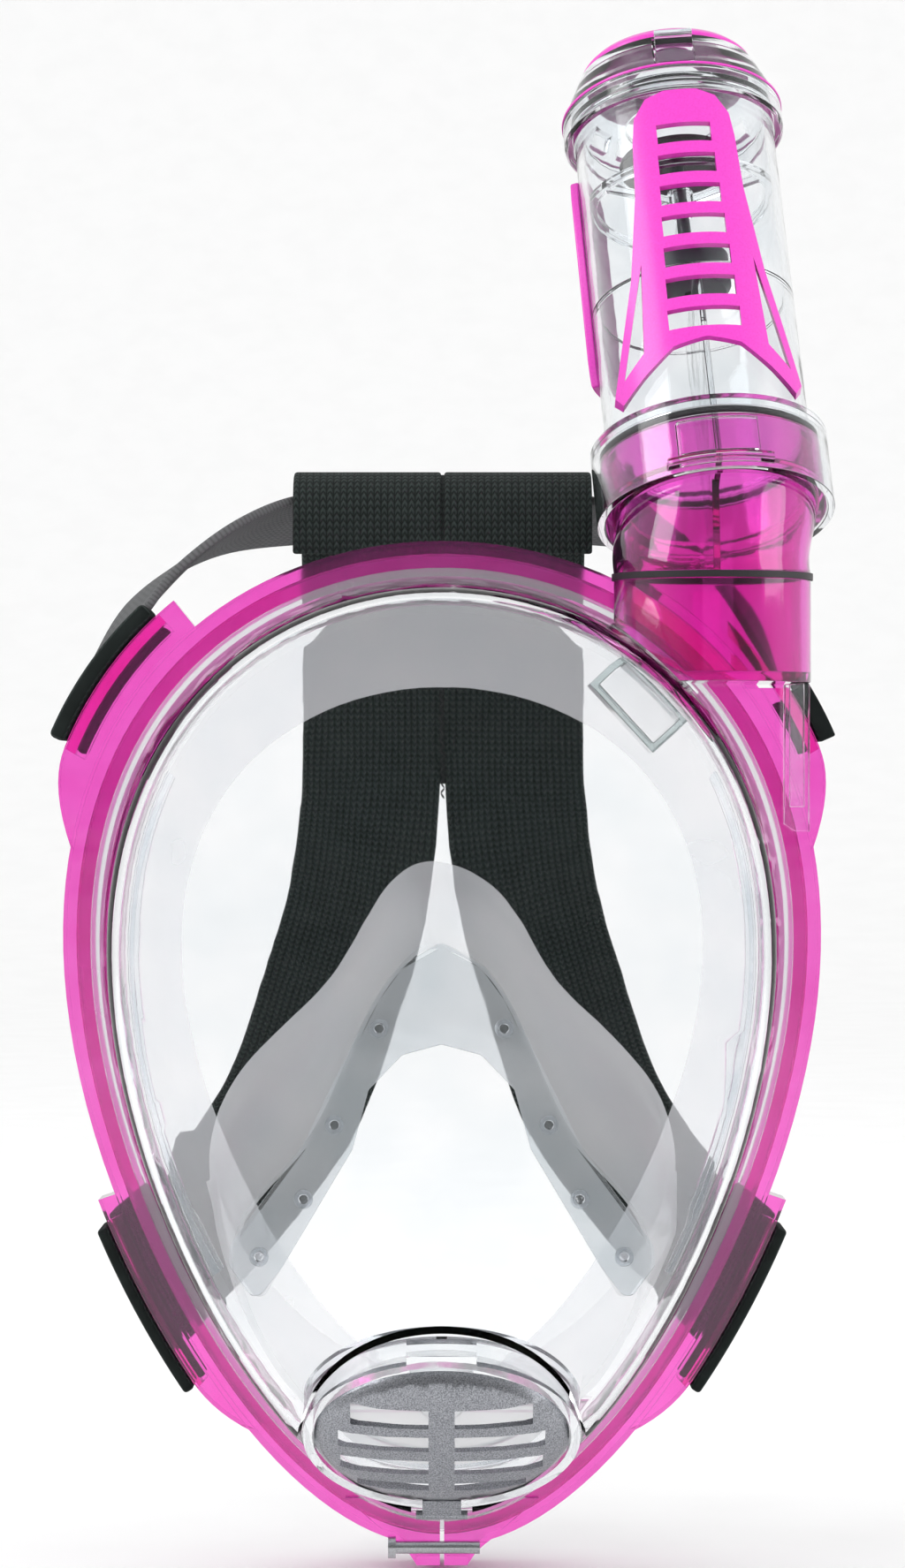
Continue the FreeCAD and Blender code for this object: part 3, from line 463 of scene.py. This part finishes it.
# %% Harness
PANEL_X = -18.9
FLAT_ACROSS = (1, 0, 0)
UPPER_HALF = [
    ((-81.8, -21.5, 91.3), (0.59, 0, 0.81)),
    ((-76, -8, 102), (0.64, -0.15, 0.75)),
    ((-64, 4, 117), (0.75, -0.4, 0.53)),
    ((-47, 27, 127.5), (0.62, -0.7, 0.34)),
    ((-25, 44, 130), (0.25, -0.94, 0.22)),
    ((0, 47, 131.5), (0, -0.97, 0.24)),
]
PANEL = [(8, 119.5), (8, 128), (9.8, 135), (17, 139.2), (32, 139.8), (47, 137.8), (62, 133), (74, 125.5),
         (83, 114.5), (90, 96)]
BACK_LEFT = [((PANEL_X, y, z), FLAT_ACROSS) for y, z in PANEL] + [
    ((-19.2, 91, 62), FLAT_ACROSS),
    ((-22.5, 83, 32), (0.97, 0, -0.24)),
    ((-29.5, 68, 6), (0.92, 0.1, -0.36)),
    ((-39, 46, -21), (0.84, 0.25, -0.46)),
    ((-54, 16, -42), (0.7, 0.42, -0.56)),
    ((-66, -4, -53), (0.54, 0.3, -0.78)),
    ((-72.5, -21.5, -59), (0.42, 0, -0.9)),
]
UPPER_RIGHT = [((-x, y, z), (-wx, wy, wz)) for (x, y, z), (wx, wy, wz) in reversed(UPPER_HALF[:-1])]
BACK_RIGHT = [((-x, y, z), (wx, -wy, -wz)) for (x, y, z), (wx, wy, wz) in BACK_LEFT]

HARNESS = [
    ("upper_webbing", UPPER_HALF + UPPER_RIGHT, "upper_strap", grey_knit),
    ("back_webbing_left", BACK_LEFT, "back_strap_left", dark_knit),
    ("back_webbing_right", BACK_RIGHT, "back_strap_right", dark_knit),
]
for name, stations, node, knit in HARNESS:
    strap, strap_length = ribbon(name, stations, knit)
    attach(strap, "mask")
    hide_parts(node)

# %% [markdown]
# Each strap end folds back round its lug, so that from the front a rounded fold of webbing shows outside
# the frame. The fold follows the same egg outline as the frame, which is a circle stretched to the
# frame's half width and half height and tapered so that it is wider above its middle. The outer leg
# lies outside the lug, and the inner leg comes back through the lug's slot.

# %% Folds round the lugs
EGG_HALF_WIDTH = 88.0
EGG_HALF_HEIGHT = 120.0
EGG_TAPER = 0.24
FOLD_STATIONS = 7
LEFT, RIGHT = -1, 1
OUTER_DEPTH, OUTER_Y = 20.0, -32.5
INNER_DEPTH, INNER_Y = 14, -30


def egg_at(degrees, outside_mm, y_mm):
    """A point outside the frame's outline, at an angle from its widest side."""
    angle = math.radians(degrees)
    x = (EGG_HALF_WIDTH + outside_mm) * math.cos(angle) * (1 + EGG_TAPER * math.sin(angle))
    return (x, y_mm, (EGG_HALF_HEIGHT + outside_mm) * math.sin(angle))


# name, side, first and last angle, distance outside the egg, thickness, depth, middle y
FOLDS = [
    ("upper_fold_left", LEFT, 34, 53, 10.2, 4.0, OUTER_DEPTH, OUTER_Y),
    ("upper_fold_right", RIGHT, 34, 41, 10.2, 4.0, OUTER_DEPTH, OUTER_Y),
    ("lower_fold_left", LEFT, -41, -20.5, 6.9, 2.8, OUTER_DEPTH, OUTER_Y),
    ("lower_fold_right", RIGHT, -41, -20.5, 6.9, 2.8, OUTER_DEPTH, OUTER_Y),
    ("upper_leg_left", LEFT, 34, 53, 4.15, 2.0, INNER_DEPTH, INNER_Y),
    ("upper_leg_right", RIGHT, 34, 41, 4.15, 2.0, INNER_DEPTH, INNER_Y),
    ("lower_leg_left", LEFT, -41, -20.5, 2.4, 1.9, INNER_DEPTH, INNER_Y),
    ("lower_leg_right", RIGHT, -41, -20.5, 2.4, 1.9, INNER_DEPTH, INNER_Y),
]
folds = {}
for name, side, low, high, outside_mm, thick_mm, depth_mm, middle_y in FOLDS:
    stations = []
    for i in range(FOLD_STATIONS):
        degrees = low + (high - low) * i / (FOLD_STATIONS - 1)
        x, y, z = egg_at(degrees, outside_mm, middle_y)
        stations.append(((side * x, y, z), (0, 1, 0)))
    folds[name], fold_length = ribbon(name, stations, dark_knit, depth_mm, thick_mm, rows=30)
    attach(folds[name], "mask")
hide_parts("strap_loops")

# %% [markdown]
# The two back straps are sewn together along their inner edges, with a thin tape behind the seam. The
# seam is a row of short stitches, each a stretched ball of thread pulled slightly into the knit.

# %% Seam between the back straps
TAPE_WIDTH_MM = 10.0
TAPE_THICK_MM = 0.8
TAPE_STATIONS = 11
STITCH_COUNT = 28
STITCH_RADIUS_MM = 0.9
STITCH_SHAPE = (0.35, 0.3, 1.1, 1.0)
STITCH_TURN = math.radians(35)
STITCH_SUNK_MM = 0.2

tape_path = [((0, y, z), FLAT_ACROSS) for (_, y, z), _ in BACK_LEFT[:TAPE_STATIONS]]
tape, tape_length = ribbon("seam_tape", tape_path, dark_knit, width_mm=TAPE_WIDTH_MM, thick_mm=TAPE_THICK_MM,
                           columns=4, rows=40)
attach(tape, "mask")

seam = bmesh.new()
seam_low, seam_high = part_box("strap_seam")
for i in range(STITCH_COUNT):
    height = seam_low.z + (seam_high.z - seam_low.z) * (i + 0.5) / STITCH_COUNT
    turn = Matrix.Rotation(STITCH_TURN if i % 2 else -STITCH_TURN, 4, "Y")
    place = Matrix.Translation((0, seam_low.y + STITCH_SUNK_MM * MM, height))
    bmesh.ops.create_icosphere(seam, subdivisions=1, radius=STITCH_RADIUS_MM * MM,
                               matrix=place @ turn @ Matrix.Diagonal(STITCH_SHAPE))
seam_piece = linked_piece("seam_stitches", seam, thread)
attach(seam_piece, "mask")
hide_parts("strap_seam")
print("seam of", STITCH_COUNT, "stitches")

# %% [markdown]
# ## Stage, light and camera
# The set is a sheet of pale paper that curves up far behind the mask. Clear plastic shows by its edges
# and reflections and not by colour, so the set is white and the lights are large and soft.

# %% Paper sweep
SWEEP_SIZE = 12.0
SWEEP_START = 2.6
SWEEP_RADIUS = 3.0
FLOOR_GAP = 0.002

floor_height = cad_low.z - FLOOR_GAP
sweep = bmesh.new()
bmesh.ops.create_grid(sweep, x_segments=2, y_segments=60, size=SWEEP_SIZE)
for vertex in sweep.verts:
    beyond = vertex.co.y - SWEEP_START
    if beyond > 0:
        turn = min(beyond / SWEEP_RADIUS, math.pi / 2)
        straight = max(beyond - SWEEP_RADIUS * math.pi / 2, 0)
        vertex.co.y = SWEEP_START + SWEEP_RADIUS * math.sin(turn)
        vertex.co.z = SWEEP_RADIUS * (1 - math.cos(turn)) + straight
    vertex.co.z += floor_height
paper, paper_tree = new_material("matt white paper")
paper_tint = add_node(paper_tree, "ShaderNodeValToRGB", {"Fac": speckle(paper_tree, 40)},
                      stops=((0.35, "#F8F8F8"), (0.65, "#FAFAFA")))
surface(paper_tree, {"Base Color": paper_tint.outputs["Color"]}, Roughness=0.95)
floor = linked_piece("paper_sweep", sweep, paper)
floor.data.shade_smooth()
print("paper sweep at", round(floor_height / MM, 1), "mm")

# %% [markdown]
# A studio for clear plastic is bright behind the piece and dim on the camera's side, so that the flat
# front of the visor doesn't mirror a white room. Only reflected and refracted rays see the dim side;
# all other light is even.

# %% Room light
DIM_SIDE = 0.14

world = bpy.data.worlds.new("studio")
world.use_nodes = True
room = world.node_tree
background = room.nodes["Background"]
background.inputs["Color"].default_value = linear("#FFFFFF")
direction = add_node(room, "ShaderNodeTexCoord")
parts = add_node(room, "ShaderNodeSeparateXYZ", {"Vector": direction.outputs["Generated"]})
dimmed = add_node(room, "ShaderNodeMapRange", {"Value": parts.outputs["Y"]},
                  From_Min=-1.0, From_Max=-0.1, To_Min=DIM_SIDE, To_Max=1.0)
path = add_node(room, "ShaderNodeLightPath")
sharp_ray = add_node(room, "ShaderNodeMath", operation="MAXIMUM",
                     feeds={0: path.outputs["Is Glossy Ray"], 1: path.outputs["Is Transmission Ray"]})
strength = add_node(room, "ShaderNodeMix", data_type="FLOAT",
                    feeds={"Factor": sharp_ray.outputs[0], "A": 1.0, "B": dimmed.outputs["Result"]})
room.links.new(strength.outputs["Result"], background.inputs["Strength"])
bpy.context.scene.world = world
bpy.context.scene.view_settings.view_transform = "Standard"
print("room dimmed to", DIM_SIDE, "on the camera's side")

# %% [markdown]
# Two small softboxes at the sides draw long highlights on the clear plastic. A large fill in front lights
# the straps and the opaque plastics, and isn't mirrored, so it doesn't show in the visor.

# %% Softboxes
LIT_POINT = Vector((0, 0, 0.05))


def soft_light(name, place, size, power, mirrored):
    """A square softbox that points at the mask."""
    light = bpy.data.lights.new(name, "AREA")
    light.shape = "SQUARE"
    light.size = size
    light.energy = power
    lamp = bpy.data.objects.new(name, light)
    bpy.context.scene.collection.objects.link(lamp)
    lamp.location = place
    lamp.rotation_euler = (LIT_POINT - Vector(place)).to_track_quat("-Z", "Y").to_euler()
    lamp.visible_glossy = mirrored
    print(name, "of", power, "W")


soft_light("left softbox", (-1.2, -0.5, 0.9), 0.7, 7, True)
soft_light("right softbox", (1.3, -0.4, 0.5), 0.7, 4, True)
soft_light("front fill", (0.2, -2.2, 0.8), 1.6, 14, False)

# %% [markdown]
# The camera looks straight at the visor from a little over a metre, with a long lens that keeps the
# shape true. It stands a little above the middle of the visor, so that the snorkel fits in.

# %% Camera
LENS_MM = 108
SENSOR_MM = 36
CAMERA_PLACE = (0.0025, -1.168, 0.062)

camera_data = bpy.data.cameras.new("studio camera")
camera_data.lens = LENS_MM
camera_data.sensor_width = SENSOR_MM
camera = bpy.data.objects.new("studio camera", camera_data)
bpy.context.scene.collection.objects.link(camera)
camera.location = CAMERA_PLACE
camera.rotation_euler = (math.radians(90), 0, 0)
bpy.context.scene.camera = camera
print("camera with a", LENS_MM, "mm lens at", CAMERA_PLACE)
